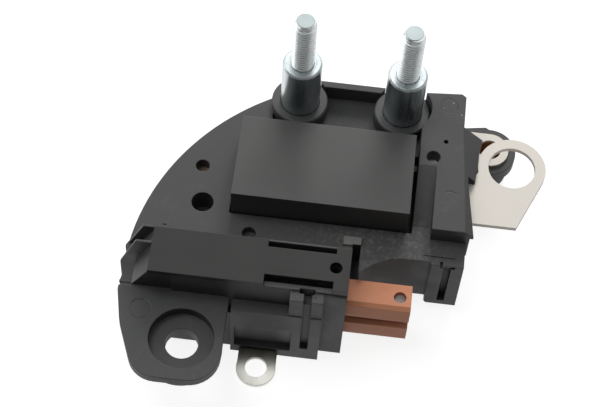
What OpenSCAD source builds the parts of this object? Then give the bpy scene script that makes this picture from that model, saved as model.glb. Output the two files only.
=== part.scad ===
// Alternator voltage regulator with its brush holder, in millimetres.
// The origin is on the slip ring axis, level with the underside of the brush box.
// +X is the way the brushes point, +Y runs to the studs and +Z is the way the studs point.

/* [Base plate] */
// Height of the plate's upper face above the underside
plate_top = 18.9; // [18:0.1:22]
// Thickness of the plate
plate_t = 5; // [4.6:0.1:6]
// Radius of the plate's curved rim
rim_r = 53.3; // [51:0.1:66]
// Place of the rim's centre along X
rim_x = -1.2; // [-3:0.1:1]
// Place of the rim's centre along Y
rim_y = -0.6; // [-2:0.1:1]
// Distance from the slip ring axis to the straight rear edge
rear_y = 49.2; // [48.8:0.1:60]
// Width of the rim and ribs left under the plate
rib_w = 1.8; // [1.2:0.1:2.4]
// Thickness of the plate's skin above the cored pockets
skin_t = 2.2; // [1.6:0.1:2.6]
// Wall of the tray and of the recess behind it
tray_wall = 1.2; // [1:0.1:1.6]
// Height of the rim behind the recess
rim_top = 21.6; // [20:0.1:23]
// Thickness of that rim
recess_wall = 1.5; // [1:0.1:2]
// Floor of the recess round the studs
recess_floor = 17.4; // [16.6:0.1:18.4]

/* [Mounting ear] */
// Place of the ear's hole along X
ear_x = -40.2; // [-44:0.1:-38]
// Place of the ear's hole along Y
ear_y = -15.9; // [-20:0.1:-15]
// Diameter of the ear's hole
ear_hole_d = 6.8; // [5:0.1:8]
// Diameter of the washer seat round that hole
ear_seat_d = 13.5; // [11:0.1:14.5]
// Depth of the washer seat
ear_seat_depth = 2.5; // [1:0.1:3]
// Distance from the hole to the ear's tip
ear_reach = 9.3; // [8.6:0.1:13]
// Thickness of the ear round its washer boss
ear_t = 2.2; // [1.8:0.1:3]
// Distance from the hole to the ear's right side
ear_side = 8.4; // [7.8:0.1:10]

/* [Brush tower] */
// Top of the tower's walls, under the cover
tower_top = 25.4; // [24:0.1:30]
// Left end of the tower at its top
tower_left = -48.6; // [-52:0.1:-48]
// Right end of the tower, where the brushes come out
tower_right = -7.8; // [-9:0.1:-7]
// Rear face of the tower
tower_rear = 4.9; // [4.6:0.1:6]
// Front face of the tower
tower_front = -5.4; // [-6:0.1:-5]
// Slope of the tower's left end, measured along X
end_run = 3.6; // [2:0.1:4]
// Thickness of the tower's walls
tower_wall = 1.3; // [1:0.1:1.5]
// Thickness of the two gussets at the tower's left end
gusset_t = 0.5; // [0.4:0.1:1]
// Distance between the gussets
gusset_pitch = 3.7; // [3:0.1:4.4]
// Reach of the gussets past the tower's foot
gusset_run = 3.3; // [2:0.1:4]
// Height of the front gusset's lower end
gusset_bottom = 8; // [6:0.1:12]
// How far the rear gusset stands out of the tower's rear face
gusset_proud = 0.2; // [0.1:0.1:0.4]
// Right end of the sunk part of the tower's front
front_step_x = -43.8; // [-46:0.1:-42]
// Depth of that sunk part
front_step = 0.4; // [0.2:0.1:0.6]
// Front face of the tower's foot under the plate
foot_front = -6.8; // [-7.6:0.1:-6]
// Front face of the ledge below the tower
ledge_front = -8; // [-9:0.1:-7]
// Height of the ledge
ledge_top = 18.4; // [16:0.1:18.6]
// Left end of the ledge
ledge_left = -31.2; // [-33:0.1:-30]
// Right end of the ledge
ledge_right = -12.5; // [-13:0.1:-12]
// Left end of the high block on the ledge
latch_left = -19.3; // [-21:0.1:-18.8]
// Width of the latch groove in that block
latch_groove = 1.7; // [1.3:0.1:2.2]
// Width of the slot across the top of the groove
latch_slot = 3.2; // [2.6:0.1:4]
// Depth of the sloping hollow in the ledge's front
hollow_depth = 1.4; // [0.8:0.1:1.8]

/* [Cover] */
// Thickness of the cover
cover_t = 1.2; // [1:0.1:2]
// Left end of the two slots beside the cover's neck
neck_left = -25; // [-27:0.1:-23]
// Right end of these slots
neck_right = -10.9; // [-11.2:0.1:-10.6]
// Width of the neck
neck_w = 6.4; // [5.6:0.1:6.8]
// Thickness of the rim behind the rear slot
slot_rim = 0.4; // [0.3:0.1:0.8]
// Gap between the cover and what stands beside it
cover_play = 0.1; // [0.05:0.05:0.2]
// Diameter of the brush retaining pin's hole
pin_hole_d = 2.6; // [2:0.1:3]
// Place of that hole along X
pin_hole_x = -10.7; // [-11.5:0.1:-10.3]

/* [Brushes] */
// Length of a brush
brush_l = 20; // [18:0.1:22]
// Width of a brush
brush_w = 6; // [5:0.1:6.2]
// Height of a brush
brush_h = 5; // [4:0.1:5.2]
// Tip of a brush, fully out
brush_tip = 5.6; // [3:0.1:7]
// Middle height of the upper brush
brush_upper_z = 14.7; // [14:0.1:15]
// Middle height of the lower brush
brush_lower_z = 7.3; // [7:0.1:8]
// Clearance round a brush in its pocket
brush_play = 0.15; // [0.1:0.05:0.3]
// Width of the chamfer along a brush's upper edge
brush_chamfer = 1.0; // [0.5:0.1:1.3]
// Rear wall of the brush pockets
pocket_rear = -37.5; // [-39:0.1:-36]
// Diameter of the brush spring's wire
spring_wire = 0.6; // [0.4:0.05:0.8]
// Mean diameter of the brush spring
spring_d = 3.9; // [3:0.1:4.1]
// Turns of the brush spring
spring_turns = 10; // [6:1:12]
// Diameter of the braided pigtail
pigtail_d = 1.4; // [1:0.1:1.8]

/* [Control module] */
// Length of the module
module_l = 37.4; // [34:0.1:38]
// Width of the module
module_w = 19.7; // [17:0.1:20]
// Left side of the module
module_x = -34.2; // [-35:0.1:-33]
// Front side of the module
module_y = 14.9; // [14.6:0.1:16]
// Top of the module
module_top = 26.3; // [24:0.1:30]
// Wall of the module's case
module_wall = 1.5; // [1:0.1:2]
// Thickness of the heat spreader under the module
spreader_t = 2; // [1:0.1:3]
// Floor of the tray that holds the module
tray_floor = 13.4; // [12:0.1:14]
// Thickness of the tray's floor
tray_t = 2; // [1.5:0.1:3]
// Gap beside the module's right side
tray_gap = 1.1; // [0.8:0.1:1.5]

/* [Studs] */
// Distance between the two studs
stud_spacing = 22.5; // [20:0.1:23]
// Place of the right stud along X
stud_x = -0.2; // [-1:0.1:1]
// Place of the studs along Y
stud_y = 43.9; // [43:0.1:45]
// Diameter of the studs
stud_d = 5; // [4:0.1:6]
// Diameter of the studs' heads
head_d = 8; // [7:0.1:8.6]
// Height of these heads with their flanges
head_h = 3.4; // [3:0.1:4]
// Diameter of the heads' flanges
head_flange_d = 10; // [9.4:0.1:10.4]
// Diameter of the heads' hexagon sockets, across corners
socket_d = 4.6; // [4:0.1:5]
// How much thinner the studs' plain shank is inside the sleeves
shank_relief = 0.5; // [0.3:0.1:0.8]
// Height of the studs' tips
stud_top = 49.6; // [44:0.1:60]
// Height of the spacer sleeves' upper ends
sleeve_top = 34.9; // [30:0.1:42]
// Outer diameter of the spacer sleeves
sleeve_d = 8.5; // [7.5:0.1:9]
// Diameter of the insulating bushes' flanges
flange_d = 12.3; // [11.4:0.1:13]
// Thickness of these flanges
flange_t = 1.5; // [1:0.1:2]
// Height of these flanges' upper faces
flange_top = 21.1; // [20.5:0.1:23]
// Radial clearance between sleeve, bush and housing
bush_play = 0.1; // [0.05:0.05:0.2]
// Wall of the insulating bushes
bush_wall = 0.9; // [0.6:0.1:1.1]

/* [Slip ring shroud] */
// Radius of the round corner of the relief for the slip rings
relief_r = 12.5; // [11:0.1:14]
// Place of the round corner's centre along X
relief_x = 4; // [2:0.1:5]
// Distance from the slip ring axis to the shroud's straight face
shroud_y = 8.3; // [7.7:0.1:8.8]
// Thickness of the shroud's wall
shroud_t = 2.2; // [1.8:0.1:3]
// Height of the shroud's lower edge
shroud_bottom = 4.5; // [2:0.1:8]
// Slot between the tower and the shroud
shroud_gap = 1.8; // [1.4:0.1:2]
// Rear end of that slot
slot_rear = 10.2; // [9:0.1:10.4]
// Height of the web that closes the slot below
slot_floor = 12; // [11.9:0.1:13]
// Right side of the shroud's foot
foot_right = 15.8; // [15:0.1:17]
// Length of the foot
foot_l = 6.9; // [6:0.1:8]
// Rear side of the foot
foot_rear = 14; // [13:0.1:16]
// How far the foot's two ribs stand out of the shroud's face
foot_proud = 0.6; // [0.3:0.1:1]
// Height of the foot's lower end
foot_bottom = 2.3; // [0:0.1:4]
// Width of the slot between the foot's ribs
foot_slot = 1.6; // [1:0.1:2]

/* [Terminal block] */
// Height of the block's upper face
block_top = 23.4; // [22.5:0.1:26]
// Rear face of the block at its right corner
block_rear = 48.6; // [47.8:0.1:49]
// Left edge of the pad in front of the block
pad_left = 8.2; // [7.8:0.1:9]
// Front edge of the pad
pad_front = 13.7; // [13.4:0.1:15]
// Rear edge of the pad, where the ramp beside it reaches the block's upper face
pad_rear = 29.3; // [28:0.1:30]
// Front end of the ramp beside the pad
ramp_front = 16.4; // [14:0.1:20]
// Slope of the block's right side, in degrees
side_slope = 40; // [30:1:50]
// Angle between that slope's crease and the Y axis, in degrees
side_turn = 4.3; // [3:0.1:5]
// Thickness of the large ring terminal
ring_t = 1; // [0.8:0.1:1.2]
// Height of the large ring terminal's upper face
ring_top = 20; // [19.5:0.1:21]
// Place of the large ring along X
ring_x = 24.5; // [23:0.1:27]
// Place of the large ring along Y
ring_y = 33.1; // [32:0.1:35]
// Outer diameter of the large ring
ring_d = 14.7; // [13:0.1:16]
// Hole of the large ring
ring_hole_d = 10.1; // [8:0.1:10.5]
// Height of the lug's upper face
lug_top = 9; // [8:0.1:10]
// Thickness of the lug
lug_t = 3; // [2:0.1:4]
// Place of the lug's insert along X
lug_x = 20.5; // [19:0.1:22]
// Place of the lug's insert along Y
lug_y = 44; // [43.6:0.1:46]
// Wall round the lug's insert
lug_wall = 2.2; // [1.6:0.1:2.6]
// Diameter of the lug's round end
lug_d = 11.8; // [10:0.1:13]
// Outer diameter of the small ring terminal
small_ring_d = 8.4; // [7.5:0.1:9]
// Bore of the lug's insert and hole of the small ring
insert_bore_d = 4.9; // [4:0.1:5.2]
// Length of the insert
insert_l = 7; // [5:0.1:8]

/* [Eyelet] */
// Place of the eyelet along X
eyelet_x = -25.2; // [-27:0.1:-24]
// Place of the eyelet along Y
eyelet_y = -12; // [-13:0.1:-11.5]
// Outer diameter of the eyelet
eyelet_d = 8.4; // [7.5:0.1:9]
// Hole of the eyelet
eyelet_hole_d = 4.7; // [4:0.1:5.3]
// Relief of the moulding round the eyelet
eyelet_relief = 1.4; // [0.8:0.1:2]

/* [Holes in the plate] */
// Place of the rear contact hole along X
contact_x = -41.6; // [-42.4:0.1:-41]
// Place of the rear contact hole along Y
contact_y = 25.5; // [25:0.1:26]
// Diameter of the contact holes
contact_d = 3; // [2.4:0.1:3.2]
// Place of the locating hole along X
locating_x = -40.4; // [-40.8:0.1:-40]
// Place of the locating hole along Y
locating_y = 16.5; // [16:0.1:19]
// Diameter of the locating hole
locating_d = 4.7; // [3:0.1:4.8]
// Depth of the locating hole
locating_depth = 6; // [3:0.1:6.5]
// Place of the front contact hole along X
front_hole_x = -29.7; // [-30.5:0.1:-29]
// Place of the front contact hole along Y
front_hole_y = 10.2; // [9.5:0.1:10.5]
// Place of the block's contact hole along X
block_hole_x = 7.3; // [7:0.1:7.6]
// Place of the block's contact hole along Y
block_hole_y = 31.5; // [31.2:0.1:32]

/* [Sheet metal] */
// Thickness of the bus bars and small terminals
bar_t = 0.8; // [0.6:0.1:0.9]
// Height of the bus bars' lower faces
bar_z = 15.5; // [15.4:0.1:16]
// Width of the supply bus bar
bar_w = 2.6; // [2:0.1:3]
// Place of the supply bus bar's front edge along Y
supply_y = 10.8; // [10.6:0.1:11]
// Place of the supply bus bar's riser along X
supply_x = 9; // [8.8:0.1:9.4]
// Height of the eyelet's lower face
eyelet_z = 0.4; // [0.2:0.1:0.8]
// Width of the strip that the eyelet hangs on
eyelet_strip = 4; // [3:0.1:5]
// Width of the small ring terminal's riser
riser_w = 3; // [2.4:0.1:3.4]
// Thickness of the module's leads
lead_t = 0.6; // [0.4:0.1:0.7]
// Width of the module's leads
lead_w = 1.5; // [1.2:0.1:1.8]
// Clearance of a metal insert in the moulding
insert_play = 0.05; // [0.02:0.01:0.1]

/* [Hidden] */
$fn = 64;
plate_bottom = plate_top - plate_t;
cover_top = tower_top + cover_t;
cover_front = tower_front - 0.1;
cover_rear = tower_rear;
pocket_w = brush_w + 2 * brush_play;
pocket_h = brush_h + 2 * brush_play;
brush_rear = brush_tip - brush_l;
pin_gap = brush_tip - 2.4;
tray_right = module_x + module_l + tray_gap;
tray_play = 0.3;
module_base = tray_floor + spreader_t;
stud_left_x = stud_x - stud_spacing;
shank_d = stud_d - shank_relief;
sleeve_bore_d = stud_d + 0.3;
bush_bore_d = sleeve_d + 2 * bush_play;
bush_d = bush_bore_d + 2 * bush_wall;
boss_top = flange_top - flange_t;
well_left = tower_left + 1.2;
well_right = pocket_rear - 1.5;
well_w = 4.4;
bar_top = bar_z + bar_t;
slot_right = tower_right + shroud_gap;
foot_left = foot_right - foot_l;
tower_foot = tower_left - end_run;
tray_left = module_x - tray_play;
tray_front = module_y - tray_play;
tray_rear = module_y + module_w + tray_play;
tray_bottom = tray_floor - tray_t;
recess_left = stud_left_x - flange_d / 2 + 0.6;
recess_right = tray_right;
rim_left = stud_left_x + flange_d / 2 - 2;
rim_right = stud_x - flange_d / 2 + 2;
block_left = tray_right;
relief_front = shroud_y - relief_r / 2;
gusset_y = tower_rear + gusset_proud - gusset_t;
gusset_front_y = gusset_y - gusset_pitch;
block_right = 13.4;
block_step = 36.5;
riser_x = 6.6;
riser_y = module_y + module_w - 4;
lug_bottom = lug_top - lug_t;
eyelet_top = plate_top - 0.6;
supply_lead_x = module_x + 14.2;
insert_d = small_ring_d - 1.2;
substrate_top = module_base + 0.8;
substrate_low = [module_x + 5.4, module_y + 4.6];
substrate_high = [module_x + module_l - 6, module_y + module_w - 3];
cavity_low = [module_x + module_wall, module_y + module_wall];
cavity_high = [module_x + module_l - module_wall, module_y + module_w - module_wall];

// Points of a closed outline whose corners are rounded; each corner is [x, y, radius].
function unit(v) = v / norm(v);
function corner_points(a, b, c, steps = 8) =
    let (
        u = unit([a[0] - b[0], a[1] - b[1]]),
        v = unit([c[0] - b[0], c[1] - b[1]]),
        half = acos(u * v) / 2,
        reach = b[2] / tan(half),
        middle = [b[0], b[1]] + unit(u + v) * b[2] / sin(half),
        start = [b[0], b[1]] + u * reach - middle,
        stop = [b[0], b[1]] + v * reach - middle,
        from = atan2(start[1], start[0]),
        turn = atan2(stop[1], stop[0]) - from,
        sweep = turn > 180 ? turn - 360 : turn < -180 ? turn + 360 : turn
    )
    [for (i = [0 : steps])
        middle + b[2] * [cos(from + sweep * i / steps), sin(from + sweep * i / steps)]];
function rounded(corners) =
    let (n = len(corners))
    [for (i = [0 : n - 1]) each (corners[i][2] > 0
        ? corner_points(corners[(i + n - 1) % n], corners[i], corners[(i + 1) % n])
        : [[corners[i][0], corners[i][1]]])];

// A box between two opposite corners.
module box(low, high) {
    translate(low) cube(high - low);
}

// A bent or flat strip of sheet metal, made thicker on all sides by grow for its slot.
module strip(low, high, grow = 0) {
    box(low - [grow, grow, grow], high + [grow, grow, grow]);
}

// The plate's outline, with the straight rear edge and the curved rim; it ends at the slip rings.
module plate_outline(inset = 0) {
    intersection() {
        translate([rim_x, rim_y]) circle(r = rim_r - inset, $fn = 180);
        union() {
            translate([rim_x - rim_r, tower_front])
                square([rim_r - rim_x + tower_right, rear_y - inset - tower_front]);
            translate([tower_right, relief_front])
                square([block_right - tower_right, rear_y - inset - relief_front]);
            translate([tower_right, relief_front])
                square([foot_right - tower_right, foot_rear - relief_front]);
        }
    }
}

// The mounting ear, from the tower's front to its rounded tip.
module ear_outline() {
    polygon(rounded([
        [rim_x - rim_r + 0.1, tower_rear, 0],
        [rim_x - rim_r - 0.3, ear_y + 9.5, 2],
        [ear_x - ear_side - 4.7, ear_y + 2.4, 10],
        [ear_x - ear_side - 0.1, ear_y - ear_reach, 6],
        [ear_x + ear_side, ear_y - ear_reach, 6.5],
        [ear_x + ear_side, tower_rear, 0]
    ]));
}

// The terminal block's outline, with the corner that reaches over the lug.
module block_outline() {
    polygon([
        [block_left, block_rear - 0.7],
        [block_right - 1, block_rear],
        [block_right, block_rear - 0.7],
        [block_right, block_step + 3.6],
        [foot_right + 2.1, block_step + 3.2],
        [foot_right + 1.5, block_step + 0.1],
        [foot_right + 1.4, block_step - 3],
        [foot_right + 0.9, pad_rear - 1.5],
        [foot_right - 0.7, pad_rear - 1.3],
        [foot_right - 0.7, pad_rear - 2.6],
        [foot_right + 1.3, pad_front],
        [pad_left, pad_front],
        [pad_left, pad_rear],
        [block_left, pad_rear]
    ]);
}

// Cored pockets under the plate; they keep clear of the bus bars and leave a rim and ribs.
module plate_cores() {
    bars_left = well_left - 1;
    bars_right = well_right - 4.6;
    bars_rear = contact_y + 3.2;
    translate([0, 0, plate_bottom - 1]) linear_extrude(plate_t - skin_t + 1)
        intersection() {
            plate_outline(rib_w);
            difference() {
                union() {
                    translate([rim_x - rim_r, tower_rear + rib_w])
                        square([bars_left - rim_x + rim_r, bars_rear - tower_rear]);
                    translate([rim_x - rim_r, bars_rear])
                        square([tray_left - tray_wall - rib_w - rim_x + rim_r, rim_r]);
                    translate([bars_right, module_y])
                        square([tray_left - tray_wall - rib_w - bars_right, contact_y - module_y - 2.8]);
                }
                translate([bars_left - rib_w, bars_rear - rib_w]) square([rib_w, rim_r]);
                translate([bars_left - rib_w, bars_rear]) square([rim_r, rib_w]);
                translate([locating_x, locating_y]) circle(d = locating_d + 2 * rib_w);
            }
        }
    box([pad_left + 0.6, block_step + rib_w, lug_bottom - 1],
        [block_right - rib_w, lug_y - 1 - rib_w, block_top - skin_t]);
}

// Tower over the brushes: upright walls, a sloping left end and the ledge with the latch block.
module tower_body() {
    translate([0, tower_front, 0]) rotate([90, 0, 0]) mirror([0, 0, 1])
        linear_extrude(tower_rear - tower_front)
            polygon([
                [tower_foot, plate_bottom],
                [tower_foot, plate_top],
                [tower_left, tower_top],
                [tower_right, tower_top],
                [tower_right, 0],
                [well_left + 2, 0],
                [well_left - 2.4, 4.4]
            ]);
    box([well_left + 2, foot_front, 0], [ledge_left + 1, tower_front + 1, plate_bottom + 1]);
    box([ledge_left, ledge_front, 0], [ledge_right, tower_front + 1, ledge_top]);
    box([latch_left, ledge_front + 0.2, 0], [ledge_right, tower_front + 1, tower_top - 0.4]);
    box([ledge_right - 1, cover_front - 0.3, 0], [tower_right, tower_front + 1, tower_top - 0.6]);
}

// Two thin gussets that brace the sloping end; the front one reaches down along the tower's foot.
module gussets() {
    gusset(gusset_y, gusset_run - 0.5, gusset_run - 1, [
        [tower_foot + 1, plate_bottom],
        [tower_foot - gusset_run + 0.5, plate_bottom]
    ]);
    gusset(gusset_front_y, gusset_run, gusset_run, [
        [tower_left, gusset_bottom],
        [tower_foot - gusset_run - 0.7, gusset_bottom],
        [tower_foot - gusset_run, gusset_bottom + 3]
    ]);
}

// One gusset at y, with its reach at the plate, its reach at the top and its lower corners.
module gusset(y, reach, top_reach, lower) {
    translate([0, y, 0]) rotate([90, 0, 0]) mirror([0, 0, 1])
        linear_extrude(gusset_t)
            polygon(concat(lower, [
                [tower_foot - reach, plate_top - 1.6],
                [tower_left - top_reach, cover_top - cover_play],
                [tower_left - cover_play, cover_top - cover_play],
                [tower_left - cover_play, plate_top]
            ]));
}

// Ramp that rises from the plate to the block's upper face, beside the pad.
module ramp() {
    translate([block_left, 0, 0]) rotate([90, 0, 90]) linear_extrude(pad_left - block_left + 1)
        polygon([
            [ramp_front, plate_top - 1],
            [ramp_front, plate_top],
            [pad_rear, block_top],
            [pad_rear + 1, block_top],
            [pad_rear + 1, plate_top - 1]
        ]);
}

// Shroud round the slip rings, with the foot at its right end.
module shroud() {
    front = shroud_y - foot_proud;
    box([slot_right, relief_front, shroud_bottom], [foot_left + 1, shroud_y + shroud_t, plate_top]);
    box([foot_left, shroud_y, foot_bottom], [foot_right, foot_rear, plate_top]);
    translate([foot_left, front, foot_bottom]) linear_extrude(plate_top - foot_bottom)
        polygon([
            [0.6, 0],
            [foot_l, 0],
            [foot_l, foot_rear - front],
            [0, foot_rear - front],
            [0, 0.5],
            [0.2, 0.15]
        ]);
}

// Room for the slip rings: round on the tower's side, open to the right.
module ring_relief() {
    translate([0, 0, -1]) linear_extrude(tower_top)
        intersection() {
            union() {
                translate([relief_x, shroud_y - relief_r]) circle(r = relief_r, $fn = 96);
                translate([relief_x, -relief_r]) square([foot_left - relief_x, relief_r + shroud_y]);
                translate([foot_left, -relief_r]) square([foot_l + 1, relief_r + shroud_y - foot_proud]);
            }
            translate([slot_right - 1, -relief_r]) square([rim_r, relief_r + shroud_y]);
        }
}

// Everything that the moulding is open to: pockets, wells, slots and holes.
module brush_pockets() {
    for (z = [brush_upper_z, brush_lower_z])
        box([pocket_rear, -pocket_w / 2, z - pocket_h / 2],
            [tower_right + 1, pocket_w / 2, z + pocket_h / 2]);
    for (z = [brush_upper_z, brush_lower_z])
        translate([well_right - 1, 0, z]) rotate([0, 90, 0]) cylinder(d = pigtail_d + 0.4, h = 3, $fn = 24);
    box([well_left, -well_w / 2, brush_lower_z - 1.8], [well_right, well_w / 2, tower_top + 1]);
    box([well_left, tower_front + tower_wall, plate_top + 0.6],
        [neck_right - 3, tower_rear - tower_wall, tower_top + 1]);
    translate([pin_hole_x, 0, 2]) cylinder(d = pin_hole_d, h = tower_top, $fn = 32);
}

module tower_slots() {
    groove_x = latch_left + 2.8;
    box([groove_x, ledge_front - 1, 4.4], [groove_x + latch_groove, ledge_front + 1.2, tower_top]);
    box([groove_x, ledge_front - 1, tower_top - 3], [groove_x + latch_groove, tower_front + 0.2, tower_top]);
    box([groove_x - 1, tower_front - 0.5, tower_top - 3],
        [groove_x - 1 + latch_slot, tower_front + 0.5, tower_top + 1]);
    box([neck_left, neck_w / 2, plate_top + 2], [neck_right, tower_rear - slot_rim, cover_top]);
    box([neck_left, tower_front + 1.2, plate_top + 2], [neck_right, -neck_w / 2, tower_top + 1]);
    translate([ledge_left + 0.8, ledge_front, 0]) rotate([90, 0, 90]) linear_extrude(latch_left - ledge_left)
        polygon([
            [-1, 12],
            [0, 12],
            [hollow_depth, 2.8],
            [-1, 2.8]
        ]);
    translate([eyelet_x, eyelet_y, -1]) cylinder(d = eyelet_d + 2 * eyelet_relief, h = 3.6);
    box([tower_foot - 1, tower_front - 1, plate_top], [front_step_x, tower_front + front_step, tower_top]);
    box([tower_foot - rim_r, tower_front, -1], [tower_foot, gusset_front_y, tower_top]);
}

module plate_holes() {
    translate([ear_x, ear_y, -1]) cylinder(d = ear_hole_d, h = tower_top);
    translate([ear_x, ear_y, plate_top - ear_seat_depth]) cylinder(d = ear_seat_d, h = tower_top);
    translate([contact_x, contact_y, bar_top]) cylinder(d = contact_d, h = plate_t, $fn = 32);
    translate([locating_x, locating_y, plate_top - locating_depth])
        cylinder(d = locating_d, h = plate_t + locating_depth);
    translate([front_hole_x, front_hole_y, bar_top + lead_t]) cylinder(d = contact_d, h = plate_t, $fn = 32);
    translate([block_hole_x, block_hole_y, ring_top]) cylinder(d = contact_d, h = plate_t, $fn = 32);
    translate([block_hole_x + 2.4, block_hole_y + 4.2, block_top - 2]) cylinder(d = 1, h = 3, $fn = 24);
    for (x = [stud_left_x, stud_x]) {
        translate([x, stud_y, 0]) cylinder(d = bush_d + 2 * bush_play, h = tower_top);
        translate([x, stud_y, boss_top]) cylinder(d = flange_d + 4 * bush_play, h = tower_top);
    }
}

module housing_mass() {
    translate([0, 0, plate_bottom]) linear_extrude(plate_t) plate_outline();
    translate([0, 0, plate_top - ear_t]) linear_extrude(ear_t) ear_outline();
    translate([ear_x, ear_y, plate_bottom]) cylinder(d = ear_seat_d + 1.4 * ear_t, h = plate_t - 0.5);
    for (side = [-1, 1])
        box([ear_x + side * 4 - rib_w / 2, ear_y, plate_bottom],
            [ear_x + side * 4 + rib_w / 2, tower_front + 1, plate_top - 0.5]);
    translate([0, 0, lug_bottom]) linear_extrude(block_top - lug_bottom)
        intersection() {
            block_outline();
            translate([0, block_step]) square([block_right, rear_y - block_step]);
        }
    translate([0, 0, plate_bottom]) linear_extrude(block_top - plate_bottom) block_outline();
    box([tray_left - tray_wall, tray_front - tray_wall, tray_bottom],
        [tray_right + tray_wall, tray_rear + tray_wall, plate_bottom + 1]);
    box([rim_left, rear_y - recess_wall, plate_bottom], [rim_right, rear_y, rim_top]);
    for (x = [stud_left_x, stud_x])
        translate([x, stud_y, tray_floor]) cylinder(d = flange_d, h = boss_top - tray_floor);
    translate([locating_x, locating_y, plate_top - locating_depth - rib_w])
        cylinder(d = locating_d + 2 * rib_w, h = locating_depth);
    tower_body();
    gussets();
    ramp();
    shroud();
    box([tower_right - 2, slot_rear - 0.3, plate_top - 1], [slot_right, slot_rear + 1.8, plate_top + 0.5]);
    box([tower_right - 1, pocket_w / 2 + 0.2, slot_floor - shroud_t],
        [slot_right + 1, slot_rear + 1.4, slot_floor]);
    box([neck_left + insert_play, tower_rear - slot_rim, tower_top - 1],
        [neck_right - insert_play, tower_rear, cover_top - cover_play]);
    lug_mass();
}

// The lug at the rear, with the round wall of its insert.
module lug_mass() {
    translate([0, 0, lug_bottom]) linear_extrude(lug_t)
        union() {
            translate([lug_x, lug_y]) circle(d = lug_d);
            polygon([
                [block_right - 1, lug_y - lug_d / 2],
                [lug_x, lug_y - lug_d / 2],
                [lug_x + lug_d / 2 - 0.6, lug_y + 2.4],
                [lug_x - 1.1, lug_y + lug_d / 2 + 0.5],
                [block_right - 1, rear_y]
            ]);
        }
    translate([lug_x, lug_y, lug_top - insert_l - 1]) cylinder(d = insert_d + lug_wall, h = insert_l);
}

module housing_cuts() {
    brush_pockets();
    tower_slots();
    plate_holes();
    plate_cores();
    box([tray_left, tray_front, tray_floor], [tray_right, tray_rear, tower_top]);
    recess_cut();
    box([tower_right, 0, -1], [slot_right, pocket_w / 2 + 0.2, tower_top]);
    box([tower_right, 0, slot_floor], [slot_right, slot_rear, tower_top]);
    ring_relief();
    foot_cuts();
    box([contact_x - 6.3, front_hole_y - 0.4, plate_top - 0.3],
        [contact_x - 5.5, front_hole_y - 0.1, plate_top + 1]);
    translate([lug_x, lug_y, lug_top - insert_l]) cylinder(d = insert_d + 2 * insert_play, h = insert_l + 1);
    slope_cut();
    metal(insert_play);
}

// Recess round the two studs, with the bosses that carry the insulating bushes left standing.
module recess_cut() {
    difference() {
        box([recess_left, tray_rear - 1, recess_floor], [recess_right, rear_y - recess_wall, tower_top]);
        for (x = [stud_left_x, stud_x])
            translate([x, stud_y, 0]) cylinder(d = flange_d, h = boss_top);
    }
}

// Slot and notches between the foot's ribs, and the crease behind the shroud's face.
module foot_cuts() {
    slot_x = foot_left + 2.7;
    box([slot_x, shroud_y - 2, foot_bottom + foot_slot],
        [slot_x + foot_slot, shroud_y + 1.4, plate_top - 0.4]);
    box([slot_x - 0.8, shroud_y - 2, plate_top - 0.9], [slot_x - 0.2, shroud_y + 0.4, plate_top + 1]);
    box([slot_x + 1.4, shroud_y - 2, plate_top - 1], [slot_x + 2.4, shroud_y + 0.4, plate_top - 0.2]);
    box([foot_left - 1.6, shroud_y + 1.3, plate_top - 0.25],
        [foot_right - 1.9, shroud_y + 1.5, plate_top + 1]);
}

// Sloping right side of the pad and block, and the undercut below its front corner.
module slope_cut() {
    translate([foot_right - 0.5, pad_front - 1, block_top])
        rotate([0, 0, side_turn]) rotate([0, side_slope, 0])
            cube([8, block_step - pad_front + 5.2, 4]);
    box([foot_right + 0.6, pad_front - 1, plate_bottom - 1],
        [foot_right + 2, pad_front + 4.3, block_top - 2.4]);
}

// Every strip of metal that the moulding holds, grown by its clearance.
module metal(grow) {
    supply_shape(grow);
    field_shape(grow);
    ring_shape(grow);
    eyelet_shape(grow);
    small_ring_shape(grow);
    lead_shapes(grow);
}

module supply_shape(grow = 0) {
    right = supply_x + bar_w;
    rear = supply_y + bar_w + 2.8;
    strip([well_right - 4.6, -1.8, bar_z], [well_right - 0.4, supply_y + bar_w, bar_top], grow);
    strip([well_right - 4.6, supply_y, bar_z], [right, supply_y + bar_w, bar_top], grow);
    strip([supply_x, supply_y, bar_z], [right, rear, bar_top], grow);
    strip([supply_x, rear - bar_t, bar_z], [right, rear, ring_top - ring_t - grow], grow);
}

module field_shape(grow = 0) {
    strip([well_left + 0.2, -1.8, bar_z], [well_left + 0.2 + bar_w, contact_y - 1.5, bar_top], grow);
    strip([well_left + 1.9, contact_y - 2, bar_z], [contact_x + 2, contact_y + 2, bar_top], grow);
}

module ring_shape(grow = 0) {
    difference() {
        translate([0, 0, ring_top - ring_t - grow]) linear_extrude(ring_t + 2 * grow)
            difference() {
                union() {
                    translate([ring_x, ring_y]) circle(d = ring_d + 2 * grow);
                    polygon([
                        [9 - grow, 15 - grow],
                        [14.6, 18.2 - grow],
                        [26.1, 18.2 - grow],
                        [ring_x + 6.8, ring_y - 2.8],
                        [ring_x - 7.1, ring_y - 1.9],
                        [15.6, 28 + grow],
                        [12 + grow, 28 + grow],
                        [9 + grow, 33.5 + grow],
                        [5.6 - grow, 33.5 + grow],
                        [5.6 - grow, 29.9 - grow],
                        [9 - grow, 29.9 - grow]
                    ]);
                }
                translate([ring_x, ring_y]) circle(d = ring_hole_d);
            }
    }
}

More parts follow.
